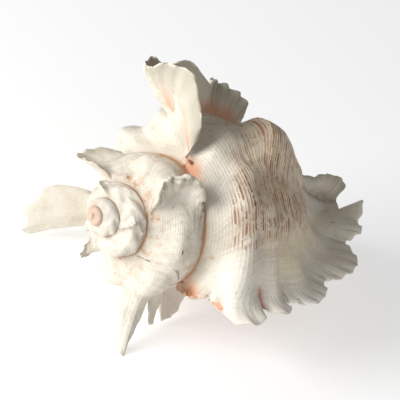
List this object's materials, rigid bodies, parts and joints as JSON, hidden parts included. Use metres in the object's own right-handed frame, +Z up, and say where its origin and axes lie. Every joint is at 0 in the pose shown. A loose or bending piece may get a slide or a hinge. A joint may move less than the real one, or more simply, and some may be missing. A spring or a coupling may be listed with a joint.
{
  "type": "murex shell",
  "caption": "Large branched murex sea shell with a stepped spire, frilled fronds on its varices, a narrow aperture and an open siphonal canal.",
  "frame": {"origin": "bottom centre of the shell's box, where it lies on a table on its aperture side", "axes": "+X from the apex towards the siphonal canal, +Z up"},
  "size_m": [0.1806, 0.125, 0.1392],
  "materials": {
    "shell": "chalky white shell with brown dashes on its cords and a pink-orange aperture"
  },
  "bodies": {
    "root": {"murex_shell": "shell"}
  },
  "joints": []
}
